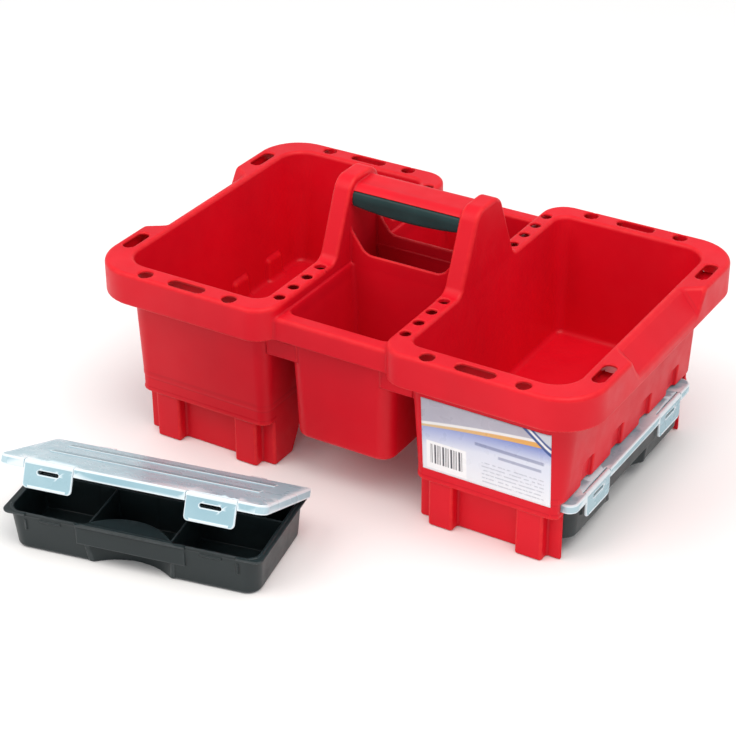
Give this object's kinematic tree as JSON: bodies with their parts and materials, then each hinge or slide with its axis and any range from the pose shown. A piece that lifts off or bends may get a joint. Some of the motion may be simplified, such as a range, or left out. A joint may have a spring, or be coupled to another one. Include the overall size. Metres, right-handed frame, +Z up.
{
  "type": "tote tray caddy with organisers",
  "caption": "Moulded carry tote with open bins, tool pockets, a central handle with a soft grip, and compartment organisers, stowed in a bay and standing open in front.",
  "frame": {"origin": "middle of the whole set on the floor; the tote's own middle is 96 mm behind it", "axes": "+X towards the bin with the stowed organiser, -Y towards the label side and the standing organiser, +Z up"},
  "size_m": [0.502, 0.5184, 0.2535],
  "materials": {
    "tote_plastic": "satin moulded polypropylene",
    "soft_grip": "matt soft-touch",
    "printed_label": "printed film",
    "organiser_plastic": "fine-grained moulded polypropylene",
    "clear_lid_plastic": "translucent satin polypropylene"
  },
  "bodies": {
    "tote": {"left_tub": "tote_plastic", "right_tub": "tote_plastic", "left_rim": "tote_plastic", "right_rim": "tote_plastic", "left_skirt": "tote_plastic", "right_skirt": "tote_plastic", "left_bay": "tote_plastic", "right_bay": "tote_plastic", "front_pocket": "tote_plastic", "rear_pocket": "tote_plastic", "left_post": "tote_plastic", "right_post": "tote_plastic", "front_panel": "tote_plastic", "rear_panel": "tote_plastic", "handle_bar": "tote_plastic", "soft_grip": "soft_grip", "label": "printed_label"},
    "stowed_organiser": {"stowed_base": "organiser_plastic", "stowed_dividers": "organiser_plastic", "stowed_lid": "clear_lid_plastic"},
    "stowed_latch_front": {"stowed_latch_front": "clear_lid_plastic"},
    "stowed_latch_rear": {"stowed_latch_rear": "clear_lid_plastic"},
    "loose_organiser": {"loose_base": "organiser_plastic", "loose_dividers": "organiser_plastic"},
    "loose_lid": {"loose_lid": "clear_lid_plastic"},
    "loose_latch_left": {"loose_latch_left": "clear_lid_plastic"},
    "loose_latch_right": {"loose_latch_right": "clear_lid_plastic"}
  },
  "joints": [
    {"name": "stowed_slide", "type": "slide", "parent": "tote", "child": "stowed_organiser", "axis": [1, 0, 0], "range_m": [0, 0.14]},
    {"name": "stowed_latch_front_hinge", "type": "hinge", "parent": "stowed_organiser", "child": "stowed_latch_front", "pos_m": [0.226, 0.017, 0.0567], "axis": [0, -1, 0], "range_deg": [0, 110]},
    {"name": "stowed_latch_rear_hinge", "type": "hinge", "parent": "stowed_organiser", "child": "stowed_latch_rear", "pos_m": [0.226, 0.167, 0.0567], "axis": [0, -1, 0], "range_deg": [0, 110]},
    {"name": "loose_lift", "type": "slide", "parent": "tote", "child": "loose_organiser", "axis": [0, 0, 1], "range_m": [0, 0.15]},
    {"name": "loose_lid_hinge", "type": "hinge", "parent": "loose_organiser", "child": "loose_lid", "pos_m": [-0.11236, -0.12291, 0.0385], "axis": [-0.9803, -0.1975, 0], "range_deg": [-24, 71]},
    {"name": "loose_latch_left_hinge", "type": "hinge", "parent": "loose_lid", "child": "loose_latch_left", "pos_m": [-0.16558, -0.23849, 0.08667], "axis": [-0.9803, -0.1975, 0], "range_deg": [0, 110]},
    {"name": "loose_latch_right_hinge", "type": "hinge", "parent": "loose_lid", "child": "loose_latch_right", "pos_m": [-0.01853, -0.20887, 0.08667], "axis": [-0.9803, -0.1975, 0], "range_deg": [0, 110]}
  ]
}
